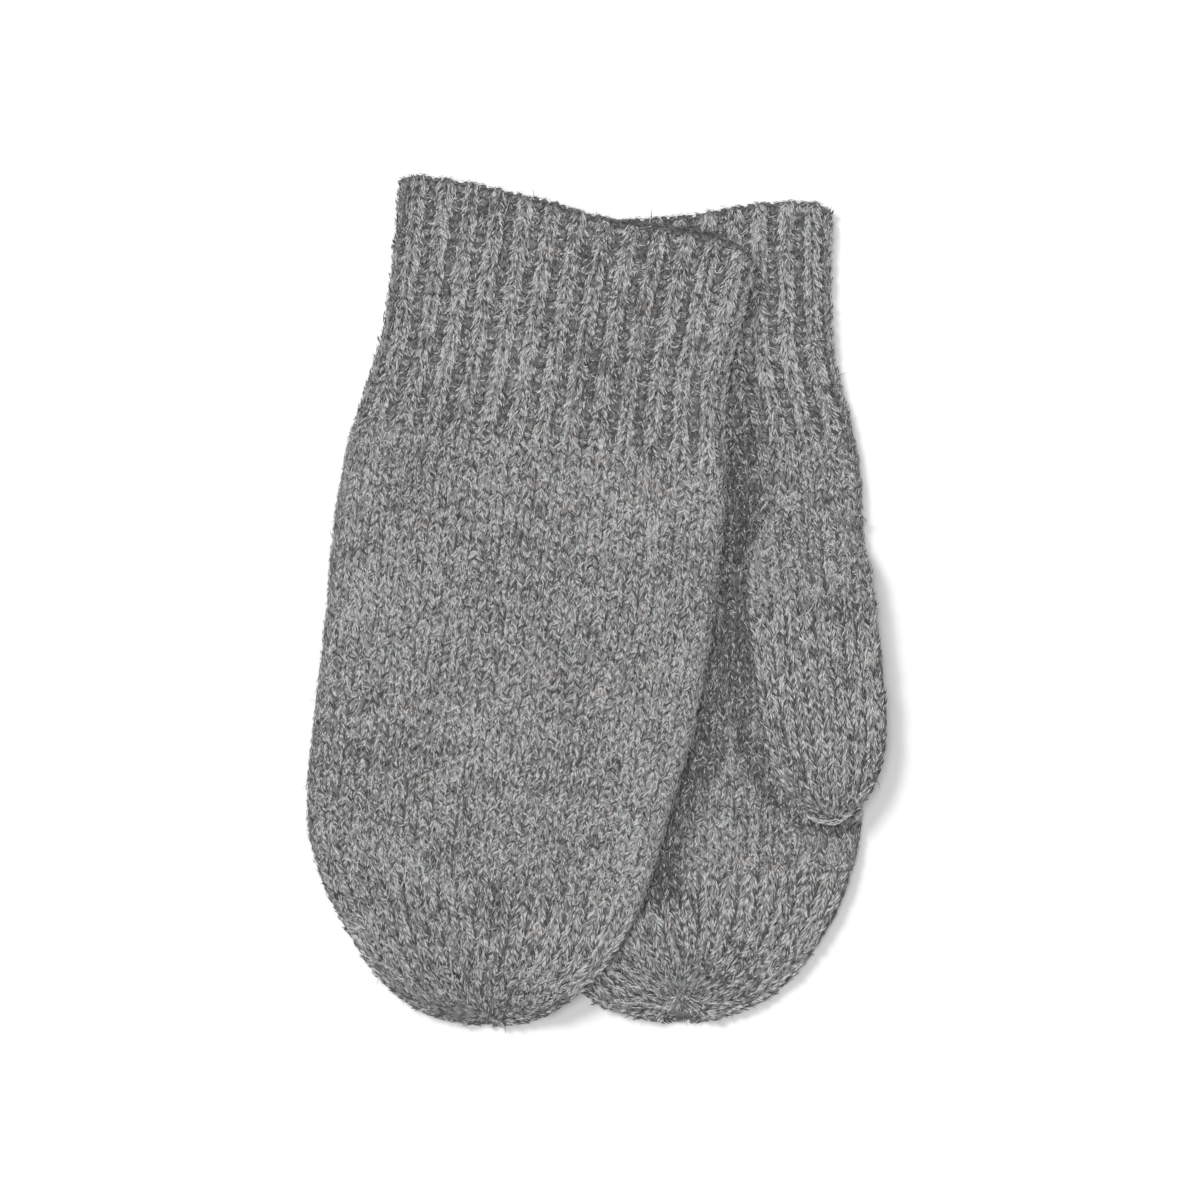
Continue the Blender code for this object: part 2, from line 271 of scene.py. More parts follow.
class Mitten:
    # Cuff and hand as one surface, found from a distance along the mitten and a fraction of the way round it
    def __init__(self, name, rows, floor, mouthDepth, mouth, tipTurn, creases, tone, cuffTone, tipPaintedLight, seed):
        self.name = name
        self.capLength = capLook["length"]
        self.rows = np.array(rows["cuff"] + rows["hand"])
        middles = (self.rows[:, 0:2] + self.rows[:, 2:4]) / 2.0
        self.knots = lengthsAlong(middles)
        self.cuffEnd = self.knots[len(rows["cuff"]) - 1]
        self.end = self.knots[-1]
        self.floor = floor
        self.mouthDepth = mouthDepth
        self.tipTurn = tipTurn  # how far the top stops short at the gather, which turns it to the top
        self.mouth = mouth
        self.creases = creases
        self.tone = tone
        self.cuffTone = cuffTone  # how much lighter the cuff and the tip are drawn; at the tip this is painted light, where the end faces away from the lamps
        self.tipPaintedLight = tipPaintedLight
        self.seed = seed

    def toneAt(self, points):
        # Painted shade: the wool is drawn darker in the creases, by how deep they are
        return self.tone - cloth["paintedCreaseShade"] * creaseDepth(points[:, 0], points[:, 1], self.creases)

    def depthAt(self, place):
        depth = mixValues(self.mouthDepth, cloth["foldDepth"], np.clip(place / cloth["mouthReach"], 0.0, 1.0))
        tipShare = smoothStep((place - self.end + cloth["tipReach"]) / cloth["tipReach"])
        return mixValues(depth, cloth["tipDepth"], tipShare)

    def point(self, place, fraction, sink=0.0, plain=False):
        row = spline(self.knots, self.rows, place)
        left = row[:, 0:2]
        right = row[:, 2:4]
        cap = np.clip((place - self.end) / capLook["length"], 0.0, 1.0)
        place = np.minimum(place, self.end)
        width = np.linalg.norm(right - left, axis=1)
        across = (right - left) / width[:, None]
        along = np.stack((across[:, 1], -across[:, 0]), axis=1)
        depth = self.depthAt(place)
        v, h, normalV, normalH = stadium(fraction, width / 2.0, depth / 2.0)
        middle = (left + right) / 2.0
        onTop = smoothStep(0.5 + h / depth)
        flat = middle + across * v[:, None]
        rise = -sink - creaseDepth(flat[:, 0], flat[:, 1], self.creases) * np.clip(normalH, 0.0, 1.0)
        if not plain:
            fade = smoothStep((self.cuffEnd - place) / cloth["ribFade"])
            rise = rise - fade * cloth["ribDepth"] * (0.5 - 0.5 * np.cos(2.0 * math.pi * fraction * knit["ribs"]))
            tipStart = self.end - knit["tipLength"] - cloth["tipFade"] / 2.0
            tipward = smoothStep((place - tipStart) / cloth["tipFade"])
            groove = tipward * (0.5 + 0.5 * np.cos(2.0 * math.pi * fraction * knit["tipWales"]))
            rise = rise - cloth["tipGroove"] * groove * (1.0 - cap)
            worn = waves(middle[:, 0] + v, middle[:, 1] + place, self.seed) * cloth["waveHeight"]
            rise = rise + worn * onTop * smoothStep(normalH * 2.0)
        v = v + normalV * rise
        h = h + normalH * rise
        topEdge, underEdge = (np.interp(v, *np.array(self.mouth[layer]).T) for layer in ("top", "under"))
        back = -mixValues(underEdge, topEdge, onTop) * smoothStep(1.0 - place / cloth["mouthFade"])
        middleShare = 1.0 - np.minimum(np.abs(2.0 * v / width), 1.0) ** 2
        drawn = smoothStep((place - self.end + capLook["turnLength"]) / capLook["turnLength"])
        back = back - self.tipTurn * onTop * middleShare * drawn
        flat = middle + across * v[:, None] + along * back[:, None]
        height = self.floor(flat[:, 0], flat[:, 1]) + depth / 2.0 + h
        if not cap.any():
            return np.column_stack((flat, height))
        # Past its last section the surface turns over the end and runs in to the gather on the top
        gather = middle - along * (self.tipTurn * capLook["gatherShare"])
        top = self.floor(gather[:, 0], gather[:, 1]) + depth - sink
        reach = (1.0 - onTop)[:, None] * (capLook["reach"] - sink)
        start = np.column_stack((flat, height))
        first = np.column_stack((flat + along * reach, height))
        rolled = mixValues(gather, flat, capLook["roundness"]) + along * reach * capLook["reachShare"]
        second = np.column_stack((rolled, top))
        pole = np.column_stack((gather, top - capLook["dimple"]))
        share = cap[:, None]
        rest = 1.0 - share
        return (start * rest ** 3 + first * 3.0 * share * rest ** 2
                + second * 3.0 * share ** 2 * rest + pole * share ** 3)


class Thumb:
    # The same for a thumb, which leaves the palm at its base and bends over to lie along it
    def __init__(self, mitten, up):
        row = mitten.rows[thumbSeat["row"]]
        span = row[2:4] - row[0:2]
        self.name = mitten.name
        self.tone = mitten.tone
        self.capLength = capLook["thumbLength"]
        self.rows = np.array(thumbRows)
        self.knots = lengthsAlong(self.rows[:, 2:4])
        self.end = self.knots[-1]
        self.base = row[0:2] + span * thumbSeat[mitten.name]
        self.across = span / np.linalg.norm(span)
        self.along = np.array((self.across[1], -self.across[0]))
        floor = float(mitten.floor(self.base[0:1], self.base[1:2])[0])
        self.palm = floor + (cloth["foldDepth"] if up > 0.0 else 0.0)
        self.up = up            # 1.0 on the top side and -1.0 underneath

    def toneAt(self, points):
        return self.tone

    def point(self, place, fraction, sink=0.0, plain=False):
        row = spline(self.knots, self.rows, place)
        low = row[:, 0:2]
        high = row[:, 2:4]
        depth = np.linalg.norm(high - low, axis=1)
        rise = (high - low) / depth[:, None]
        halfWidth = (row[:, 5] - row[:, 4]) / 2.0
        v, h, normalV, normalH = stadium(fraction, halfWidth, depth / 2.0)
        cap = np.clip((place - self.end) / capLook["thumbLength"], 0.0, 1.0)
        bulge = capLook["thumbBulge"] - sink
        if not plain:
            sink = sink + cloth["thumbGroove"] * (0.5 + 0.5 * np.cos(2.0 * math.pi * fraction * knit["thumbWales"]))
        v = (v - normalV * sink) * (1.0 - cap)
        h = (h - normalH * sink) * (1.0 - cap)
        side = low + rise * (depth / 2.0 + h)[:, None]
        v = ((row[:, 4] + row[:, 5]) / 2.0 + v) * self.up
        reach = side[:, 0:1] + np.sin(cap * math.pi / 2.0)[:, None] * bulge
        flat = self.base + self.across * v[:, None] + self.along * reach
        return np.column_stack((flat, self.palm + side[:, 1] * self.up))


probe = {
    "step": 0.15,  # mm on either side, from which the directions are taken
    "turnStep": 0.002,  # the same round the tube, as a share of a turn
    "reach": 0.8,  # mm over which the bend is taken
    "sag": 0.2,  # how far a straight piece may stand off the surface
    "shortest": 1.1,
}


def frameAt(surface, place, fraction):
    # Points on a surface with its three directions there, how wide one whole turn is and how long a straight piece
    # can lie on it
    step, turnStep = probe["step"], probe["turnStep"]
    point = surface.point(place, fraction)
    alongStep = surface.point(place + step, fraction) - surface.point(place - step, fraction)
    aroundStep = surface.point(place, fraction + turnStep) - surface.point(place, fraction - turnStep)
    along = unit(alongStep)
    turn = np.linalg.norm(aroundStep, axis=1) / (2.0 * turnStep)
    normal = unit(np.cross(along, aroundStep))
    across = np.cross(normal, along)
    stretch = np.linalg.norm(alongStep, axis=1) / (2.0 * step)
    reach = probe["reach"] / np.maximum(stretch, 0.5)
    ahead = surface.point(place + reach, fraction) - point
    behind = point - surface.point(place - reach, fraction)
    lengths = np.linalg.norm(ahead, axis=1) * np.linalg.norm(behind, axis=1)
    bend = np.arccos(np.clip((ahead * behind).sum(axis=1) / np.maximum(lengths, 1.0e-9), -1.0, 1.0))
    straight = np.sqrt(8.0 * probe["sag"] * np.sqrt(lengths) / np.maximum(bend, 0.01))
    return point, along, across, normal, turn, np.maximum(straight, probe["shortest"])


def toWorld(points):
    return (points - pairMiddle) * mm


def newObject(name, data):
    thing = bpy.data.objects.new(name, data)
    bpy.context.scene.collection.objects.link(thing)
    return thing


def meshFrom(name, points, faces):
    data = bpy.data.meshes.new(name)
    data.from_pydata([tuple(p) for p in toWorld(np.asarray(points))], [], faces)
    return data


def ringGrid(surface, places, count, sink, plain=False):
    fraction = np.arange(count) / count
    return [surface.point(np.full(count, place), fraction, sink, plain) for place in places]


clothMesh = {"cuff": (112, 3.0), "hand": (84, 2.2), "thumb": (40, 2.0)}  # points round, and mm from row to row


def shell(name, surface, start, end, part, closed):
    # Plain cloth under the stitches: an outer and an inner wall, joined at the open edges
    count, step = clothMesh[part]
    outerEnd = end + surface.capLength * cloth["closedShare"] if closed else end
    places = np.linspace(start, outerEnd, max(6, int((outerEnd - start) / step)))
    outer = ringGrid(surface, places, count, cloth["skinDepth"])
    innerPlaces = places if not closed else np.linspace(start, end - cloth["innerEnd"], len(places))
    inner = ringGrid(surface, innerPlaces, count, cloth["wall"] - cloth["innerSlack"], True)
    points = np.concatenate(outer + inner)
    rings = len(outer)
    faces = []
    for layer, flip in ((0, False), (rings, True)):
        for row in range(rings - 1):
            for column in range(count):
                after = (column + 1) % count
                a = (layer + row) * count
                b = a + count
                face = (a + column, a + after, b + after, b + column)
                faces.append(face[::-1] if flip else face)
    lastOuter = (rings - 1) * count
    lastInner = (2 * rings - 1) * count
    for column in range(count):
        after = (column + 1) % count
        faces.append((column, rings * count + column, rings * count + after, after))
        if not closed:
            faces.append((lastOuter + column, lastOuter + after, lastInner + after, lastInner + column))
    if closed:
        for first, flip in ((lastOuter, False), (lastInner, True)):
            centre = len(points)
            points = np.vstack((points, points[first:first + count].mean(axis=0)))
            for column in range(count):
                face = (first + column, first + (column + 1) % count, centre)
                faces.append(face[::-1] if flip else face)
    data = meshFrom(name, points, faces)
    mesh = bmesh.new()
    mesh.from_mesh(data)
    bmesh.ops.recalc_face_normals(mesh, faces=mesh.faces)
    if mesh.calc_volume(signed=True) < 0.0:
        bmesh.ops.reverse_faces(mesh, faces=mesh.faces)
    mesh.to_mesh(data)
    mesh.free()
    # Fibres stand on the outer faces only, and not where the cloth rests on the surface
    outside = data.attributes.new("outside", "FLOAT", "FACE")
    outerFaces = (rings - 1) * count
    outside.data.foreach_set("value", [
        float(face.index < outerFaces and face.center.z > cloth["fuzzHeight"] * mm) for face in data.polygons])
    data.shade_smooth()
    data.materials.append(clothShadeWool)
    return newObject(name, data)


def put(tree, kind, settings=None, values=None):
    node = tree.nodes.new(kind)
    for key, value in (settings or {}).items():
        setattr(node, key, value)
    for key, value in (values or {}).items():
        if isinstance(value, bpy.types.NodeSocket):
            tree.links.new(value, node.inputs[key])
        else:
            node.inputs[key].default_value = value
    return node


# Shader maths
class Wire:
    def __init__(self, tree, socket):
        self.tree = tree
        self.socket = socket

    def make(self, kind, settings=None, values=None, output=0):
        settings = dict(settings or {})
        stops = settings.pop("stops", ())
        values = {key: value.socket if isinstance(value, Wire) else value for key, value in (values or {}).items()}
        node = put(self.tree, kind, settings, values)
        if stops:
            ramp = node.color_ramp
            while len(ramp.elements) < len(stops):
                ramp.elements.new(0.5)
            for element, (place, shade) in zip(ramp.elements, stops):
                element.position = place
                element.color = (*shade, 1.0)
        return Wire(self.tree, node.outputs[output])

    def maths(self, operation, first, second):
        return self.make("ShaderNodeMath", {"operation": operation}, {0: first, 1: second})

    def noise(self, vector, scale, detail, roughness=0.5, distortion=0.0):
        return self.make("ShaderNodeTexNoise", {}, {
            "Vector": vector, "Scale": scale, "Detail": detail, "Roughness": roughness, "Distortion": distortion})

    def __add__(self, other):
        return self.maths("ADD", self, other)

    def __sub__(self, other):
        return self.maths("SUBTRACT", self, other)

    def __mul__(self, other):
        return self.maths("MULTIPLY", self, other)


def woolMaterial(name, look):
    # Grey melange wool: light and dark fibres that run along the yarn and twist round it
    material = bpy.data.materials.new(name)
    material.use_nodes = True
    tree = material.node_tree
    shader = tree.nodes["Principled BSDF"]
    wool = Wire(tree, None)
    yarn = wool.make("ShaderNodeAttribute", {"attribute_name": "yarn"}, output="Vector")
    # The tone of each piece: its own random tone, with the painted shade of creases, leg sides and the pick-up
    # course and the painted light of the lower tip
    tone = wool.make("ShaderNodeAttribute", {"attribute_name": "tone"}, output="Fac")
    seed = wool.make("ShaderNodeCombineXYZ", {}, {0: tone * 37.0, 1: tone * 91.0, 2: tone * 53.0})
    shifted = wool.make("ShaderNodeVectorMath", {"operation": "ADD"}, {0: yarn, 1: seed})
    fine = wool.noise(shifted, look["fibreScale"], 3.0, 0.65)
    place = wool.make("ShaderNodeTexCoord", output="Object")
    broad = wool.noise(place, look["cloudScale"], 2.0)
    drawn = wool.make("ShaderNodeVectorMath", {"operation": "MULTIPLY"}, {0: place, 1: look["grainStretch"]})
    grain = wool.noise(drawn, look["grainScale"], 2.0, 0.6, 1.2)
    mixed = fine * look["fibreShare"] + grain * (1.0 - look["fibreShare"])
    mixed = mixed + (tone - 0.5) * look["toneShare"] + (broad - 0.5) * look["cloudShare"]
    colour = wool.make("ShaderNodeValToRGB", {"stops": [
        (look["darkStop"], look["dark"]), (0.5, look["middle"]), (look["lightStop"], look["light"])]}, {0: mixed})
    dyed = wool.noise(place, look["fleckScale"], 1.0)
    fleck = wool.make("ShaderNodeValToRGB", {"stops": [
        (0.35, look["cool"]), (0.5, (1.0, 1.0, 1.0)), (0.65, look["warm"])]}, {0: dyed})
    tinted = wool.make("ShaderNodeVectorMath", {"operation": "MULTIPLY"}, {0: colour, 1: fleck})
    tree.links.new(tinted.socket, shader.inputs["Base Color"])
    relief = wool.make("ShaderNodeBump", {}, {
        "Strength": look["bump"], "Distance": 0.25 * mm, "Height": fine * 0.75 + grain * 0.25})
    tree.links.new(relief.socket, shader.inputs["Normal"])
    shader.inputs["Roughness"].default_value = 0.92
    shader.inputs["Specular IOR Level"].default_value = 0.2
    shader.inputs["Sheen Weight"].default_value = look["sheen"]
    shader.inputs["Sheen Roughness"].default_value = 0.6
    return material


# Look of the legs of the stitches, and the base of the other looks. The legs lie under the strands and are drawn
# darker than them: painted shade.
yarnLook = {
    "fibreScale": 1.6, "cloudScale": 60.0, "grainScale": 3000.0, "grainStretch": (1.0, 0.4, 1.0),
    "fleckScale": 700.0, "fibreShare": 0.35, "toneShare": 0.35, "cloudShare": 0.25,
    "darkStop": 0.28, "lightStop": 0.72,
    "dark": (0.10, 0.10, 0.101), "middle": (0.25, 0.25, 0.25), "light": (0.40, 0.40, 0.397),
    "cool": (0.97, 1.0, 1.02), "warm": (1.035, 0.995, 0.975), "bump": 0.9, "sheen": 0.1,
}
# Its darkest strands are partly the dark fibres of the melange and partly painted shade for the gaps between fibres
strandLook = {
    **yarnLook,
    "toneShare": 0.8,
    "dark": (0.05, 0.05, 0.051),
    "middle": (0.38, 0.38, 0.38),
    "light": (0.62, 0.62, 0.616),
}
# Painted shade: the plain cloth under the stitches is drawn darker than the yarn, for the gaps between the stitches
clothShadeLook = {**yarnLook, "fibreShare": 0.0, "middle": (0.15, 0.15, 0.15), "light": (0.28, 0.28, 0.28)}
fuzzWoolLook = {**strandLook, "fibreShare": 0.0, "bump": 0.1}
stitchShadeWool = woolMaterial("stitch_wool", yarnLook)
strandWool = woolMaterial("strand_wool", strandLook)
clothShadeWool = woolMaterial("cloth_wool", clothShadeLook)
fuzzWool = woolMaterial("fuzz_wool", fuzzWoolLook)
print("materials made")


def patternMesh(name, points, faces, coords):
    # A small shape with the coordinates its wool is drawn in
    data = bpy.data.meshes.new(name)
    data.from_pydata(points, [], faces)
    yarn = data.attributes.new("yarn", "FLOAT_VECTOR", "POINT")
    yarn.data.foreach_set("vector", np.ascontiguousarray(coords, np.float32).ravel())
    data.shade_smooth()
    return newObject(name, data)


def legShape():
    # Half of a stitch: a plump leaf one unit long that sinks at its far end
    profile = [(-0.46, -0.2), (-0.30, 0.72), (0.0, 0.95), (0.30, 0.72), (0.46, -0.2)]
    points = [(0.0, -0.5, 0.10)] + [(x, -0.02, z) for x, z in profile] + [(0.0, 0.5, -0.22)]
    faces = []
    for side in range(4):
        faces += [(0, 2 + side, 1 + side), (6, 1 + side, 2 + side)]
    coords = [(x * 7.0 + y * 2.2, y * 2.6, z * 5.0) for x, y, z in points]
    return patternMesh("legPattern", points, faces, coords)


def plyShape():
    # One strand of the yarn, a thin ridge one unit long, open below
    points = [(0.0, -0.5, 0.05), (-0.5, 0.06, -0.3), (0.5, -0.06, -0.3), (0.0, 0.5, 0.0)]
    faces = [(0, 3, 1), (0, 2, 3)]
    coords = [(x * 1.5, y * 1.8, z) for x, y, z in points]
    return patternMesh("plyPattern", points, faces, coords)


def hairShape(index):
    # A loose fibre that leaves the cloth and bends over
    draw = np.random.default_rng(40 + index)
    bend = draw.uniform(-0.55, 0.55)
    line = [(0.0, 0.0, -0.03), (0.30, 0.06 * bend, 0.10), (0.62, 0.42 * bend, 0.17), (0.95, 1.0 * bend, 0.13)]
    radius = [0.026, 0.026, 0.020]
    points = []
    for (x, y, z), r in zip(line, radius):
        points += [(x, y + r * math.cos(a), z + r * math.sin(a)) for a in (0.5, 2.6, 4.7)]
    points.append(line[-1])
    faces = [(0, 2, 1)]
    for ring in range(len(radius) - 1):
        for side in range(3):
            after = (side + 1) % 3
            a = ring * 3
            faces.append((a + side, a + after, a + 3 + after, a + 3 + side))
    last = (len(radius) - 1) * 3
    for side in range(3):
        faces.append((last + side, last + (side + 1) % 3, len(points) - 1))
    return patternMesh("hairPattern%d" % index, points, faces, points)


def geometryTree(name, sockets):
    tree = bpy.data.node_groups.new(name, "GeometryNodeTree")
    for way in ("INPUT", "OUTPUT"):
        tree.interface.new_socket("Geometry", in_out=way, socket_type="NodeSocketGeometry")
    for label, kind in sockets.items():
        tree.interface.new_socket(label, in_out="INPUT", socket_type="NodeSocket" + kind)
    return tree


def named(tree, name, kind):
    return put(tree, "GeometryNodeInputNamedAttribute", {"data_type": kind}, {"Name": name}).outputs["Attribute"]


def randomNumber(tree, low, high, seed):
    return put(tree, "FunctionNodeRandomValue", {"data_type": "FLOAT"}, {2: low, 3: high, "Seed": seed}).outputs[1]


def finishTree(tree, placed, wool):
    solid = put(tree, "GeometryNodeRealizeInstances", {}, {"Geometry": placed.outputs[0]})
    coated = put(tree, "GeometryNodeSetMaterial", {}, {"Geometry": solid.outputs[0], "Material": wool})
    put(tree, "NodeGroupOutput", {}, {"Geometry": coated.outputs[0]})
    return tree


def stitchTree():
    # A leg of yarn on each point, turned to its directions and scaled to its size
    tree = geometryTree("knitStitches", {"Leg": "Object", "Unevenness": "Float", "Seed": "Int", "Wool": "Material"})
    start = put(tree, "NodeGroupInput").outputs
    leg = put(tree, "GeometryNodeObjectInfo", {}, {"Object": start["Leg"], "As Instance": True})
    turn = put(tree, "FunctionNodeAxesToRotation", {"primary_axis": "Z", "secondary_axis": "Y"}, {
        "Primary Axis": named(tree, "up", "FLOAT_VECTOR"),
        "Secondary Axis": named(tree, "run", "FLOAT_VECTOR"),
    })
    low, high = (put(tree, "ShaderNodeMath", {"operation": operation}, {0: 1.0, 1: start["Unevenness"]}).outputs[0]
                 for operation in ("SUBTRACT", "ADD"))
    size = put(tree, "ShaderNodeVectorMath", {"operation": "SCALE"}, {
        0: named(tree, "size", "FLOAT_VECTOR"), "Scale": randomNumber(tree, low, high, start["Seed"])}).outputs[0]
    placed = put(tree, "GeometryNodeInstanceOnPoints", {}, {
        "Points": start["Geometry"], "Instance": leg.outputs["Geometry"],
        "Rotation": turn.outputs[0], "Scale": size})
    return finishTree(tree, placed, start["Wool"])


def fuzzTree():
    # Loose fibres scattered over the outer faces of the cloth
    tree = geometryTree("looseFibres", {
        "Density": "Float", "Shortest": "Float", "Longest": "Float", "Lift": "Float", "Seed": "Int",
        "Wool": "Material"})
    start = put(tree, "NodeGroupInput").outputs
    outer = put(tree, "FunctionNodeCompare", {"data_type": "FLOAT", "operation": "GREATER_THAN"},
                {0: named(tree, "outside", "FLOAT"), 1: 0.5}).outputs[0]
    spread = put(tree, "GeometryNodeDistributePointsOnFaces", {}, {
        "Mesh": start["Geometry"], "Selection": outer, "Density": start["Density"], "Seed": start["Seed"]})
    pick = put(tree, "GeometryNodeJoinGeometry")
    for pattern in hairPatterns:
        hair = put(tree, "GeometryNodeObjectInfo", {}, {"Object": pattern, "As Instance": True})
        tree.links.new(hair.outputs["Geometry"], pick.inputs[0])
    length = randomNumber(tree, start["Shortest"], start["Longest"], start["Seed"])
    spin = randomNumber(tree, 0.0, 6.283, 11)
    tilt = randomNumber(tree, -0.15, start["Lift"], 12)
    lean = put(tree, "ShaderNodeMath", {"operation": "MULTIPLY"}, {0: tilt, 1: -1.0}).outputs[0]
    angles = put(tree, "ShaderNodeCombineXYZ", {}, {1: lean, 2: spin}).outputs[0]
    local = put(tree, "FunctionNodeEulerToRotation", {}, {0: angles}).outputs[0]
    turn = put(tree, "FunctionNodeRotateRotation", {"rotation_space": "LOCAL"},
               {0: spread.outputs["Rotation"], 1: local}).outputs[0]
    index = put(tree, "FunctionNodeRandomValue", {"data_type": "INT"}, {4: 0, 5: 2, "Seed": 5}).outputs[2]
    placed = put(tree, "GeometryNodeInstanceOnPoints", {}, {
        "Points": spread.outputs["Points"], "Instance": pick.outputs[0], "Pick Instance": True,
        "Instance Index": index, "Rotation": turn, "Scale": length})
    toned = put(tree, "GeometryNodeStoreNamedAttribute", {"data_type": "FLOAT", "domain": "INSTANCE"}, {
        "Geometry": placed.outputs[0], "Name": "tone", "Value": randomNumber(tree, 0.0, 1.0, 9)})
    return finishTree(tree, toned, start["Wool"])


def runTree(name, source, tree, values):
    # A plain mesh of what the tree makes on the source
    modifier = source.modifiers.new("make", "NODES")
    modifier.node_group = tree
    identifiers = {item.name: item.identifier for item in tree.interface.items_tree if item.in_out == "INPUT"}
    for label, value in values.items():
        modifier[identifiers[label]] = value
    source.update_tag()
    bpy.context.view_layer.update()
    graph = bpy.context.evaluated_depsgraph_get()
    data = bpy.data.meshes.new_from_object(source.evaluated_get(graph))
    source.modifiers.remove(modifier)
    data.name = name
    data.shade_smooth()
    return newObject(name, data)


legPattern = legShape()
plyPattern = plyShape()
hairPatterns = [hairShape(index) for index in range(3)]
stitches = stitchTree()
fibres = fuzzTree()


def turned(run, normal, angle):
    # Directions turned about the normals by these angles in radians
    side = np.cross(run, normal)
    return run * np.cos(angle)[:, None] + side * np.sin(angle)[:, None]


# The legs of the stitches: sizes as shares of a stitch, angles in degrees, shake and sink in mm
legLook = {
    "offset": 0.23, "wide": 0.60, "long": 1.55, "high": 0.21, "widest": 2.6,
    "wideSpread": (0.88, 1.12), "longSpread": (0.9, 1.12), "highSpread": (0.8, 1.2),
    "angle": 23.0, "sway": 7.0, "shake": 0.08, "sink": 0.45, "tone": 0.0, "toneSpread": 0.05,
}
ribLook = {**legLook, "tone": -0.01, "offset": 0.19, "wide": 0.42, "long": 1.70, "high": 0.19, "shake": 0.07}
tipLook = {**legLook, "long": 1.8, "angle": 20.0, "sway": 6.0, "tone": -0.05}


def legPoints(surface, place, fraction, length, wales, look, seed):
    # Both legs of each stitch, as points with their directions, size and tone
    draw = np.random.default_rng(seed)
    blocks = []
    count = len(place)
    tone = draw.normal(look["tone"], look["toneSpread"], count) + surface.toneAt(surface.point(place, fraction))
    for side in (-1.0, 1.0):
        at = fraction + side * look["offset"] / wales
        point, along, across, normal, turn, straight = frameAt(surface, place, at)
        angle = np.radians(look["angle"] + draw.normal(0.0, look["sway"], count)) * side
        run = along * np.cos(angle)[:, None] + across * np.sin(angle)[:, None]
        wale = turn / wales
        size = np.column_stack((
            wale * look["wide"] * draw.uniform(*look["wideSpread"], count),
            np.minimum(length * look["long"] * draw.uniform(*look["longSpread"], count), straight),
            np.minimum(wale, look["widest"]) * look["high"] * draw.uniform(*look["highSpread"], count),
        ))
        point = point + draw.normal(0.0, look["shake"], (count, 3)) - normal * look["sink"]
        shade = np.clip(tone + draw.normal(0.0, look["toneSpread"], count), 0.0, 1.0)
        blocks.append((point, run, normal, size, shade))
    return [np.concatenate(parts) for parts in zip(*blocks)]


# The strands on the legs: how many on a square mm, how far they spread and stray, their size in mm and their tone;
# edge is the painted shade at the sides and ends of a leg
plyLook = {
    "density": 3.5, "spread": 0.8, "reach": 0.8, "lift": 1.0, "round": 0.45, "liftSpread": 0.22, "highest": 1.5,
    "stray": 24.0, "tilt": 0.18, "width": 0.19, "thick": (0.7, 1.3), "length": (0.7, 1.4), "longest": 0.9,
    "contrast": 0.39, "edge": 0.3, "endShadeShare": 0.6, "meanBorderShade": 0.27,
}
ribPlyLook = {**plyLook, "density": 3.3, "stray": 20.0, "length": (0.8, 1.5), "width": 0.22, "edge": 0.65}
thumbPlyLook = {
    **plyLook, "density": 2.8, "spread": 0.74, "stray": 13.0, "length": (0.9, 1.7), "width": 0.23,
    "contrast": 0.37, "edge": 0.75,
}
barPlyLook = {**plyLook, "density": 2.6, "stray": 60.0, "length": (0.7, 1.3)}


def plyPoints(legs, look, seed):
    # Strands strewn over the legs of the stitches, which follow them loosely
    draw = np.random.default_rng(seed)
    room = legs[3][:, 0] * legs[3][:, 1]
    number = np.floor(room * look["density"] + draw.uniform(0.0, 1.0, len(room))).astype(int)
    point, run, normal, size, tone = [np.repeat(values, number, axis=0) for values in legs]
    count = len(point)
    sideways = draw.uniform(-look["spread"], look["spread"], count)
    forward = draw.uniform(-0.5, 0.5, count)
    lift = look["lift"] - look["round"] * sideways * sideways + draw.normal(0.0, look["liftSpread"], count)
    lift = np.minimum(lift, look["highest"])
    at = (point + np.cross(run, normal) * (sideways * size[:, 0] * 0.5)[:, None]
          + run * (forward * size[:, 1] * look["reach"])[:, None] + normal * (lift * size[:, 2])[:, None])
    heading = turned(run, normal, np.radians(draw.normal(0.0, look["stray"], count)))
    heading = heading + normal * draw.normal(0.0, look["tilt"], count)[:, None]
    thick = draw.uniform(*look["thick"], count) * look["width"]
    length = np.minimum(draw.uniform(*look["length"], count), size[:, 1] * look["longest"])
    # Painted shade: strands at the sides and ends of a leg, which lie deep between the stitches, are drawn darker
    borderShade = np.maximum(sideways ** 2, (2.0 * forward) ** 4 * look["endShadeShare"])
    tone = tone - look["edge"] * (borderShade - look["meanBorderShade"])
    shade = np.clip(tone + draw.normal(0.0, look["contrast"], count), 0.0, 1.0)
    return [at, heading, normal, np.column_stack((thick, length, thick)), shade]


def courseGrid(surface, start, end, course, wales, shift=0.5):
    # Places of the stitches: each wale is divided by its own true length, so that it is covered evenly
    fine = np.linspace(start, end, 80)
    places, columns, lengths = [], [], []
    for column in (np.arange(wales) + shift) / wales:
        line = surface.point(fine, np.full(len(fine), column))
        run = lengthsAlong(line)
        count = max(1, int(round(run[-1] / course)))
        places.append(np.interp((np.arange(count) + 0.5) / count * run[-1], run, fine))
        columns.append(np.full(count, column))
        lengths.append(np.full(count, run[-1] / count))
    return np.concatenate(places), np.concatenate(columns), np.concatenate(lengths)


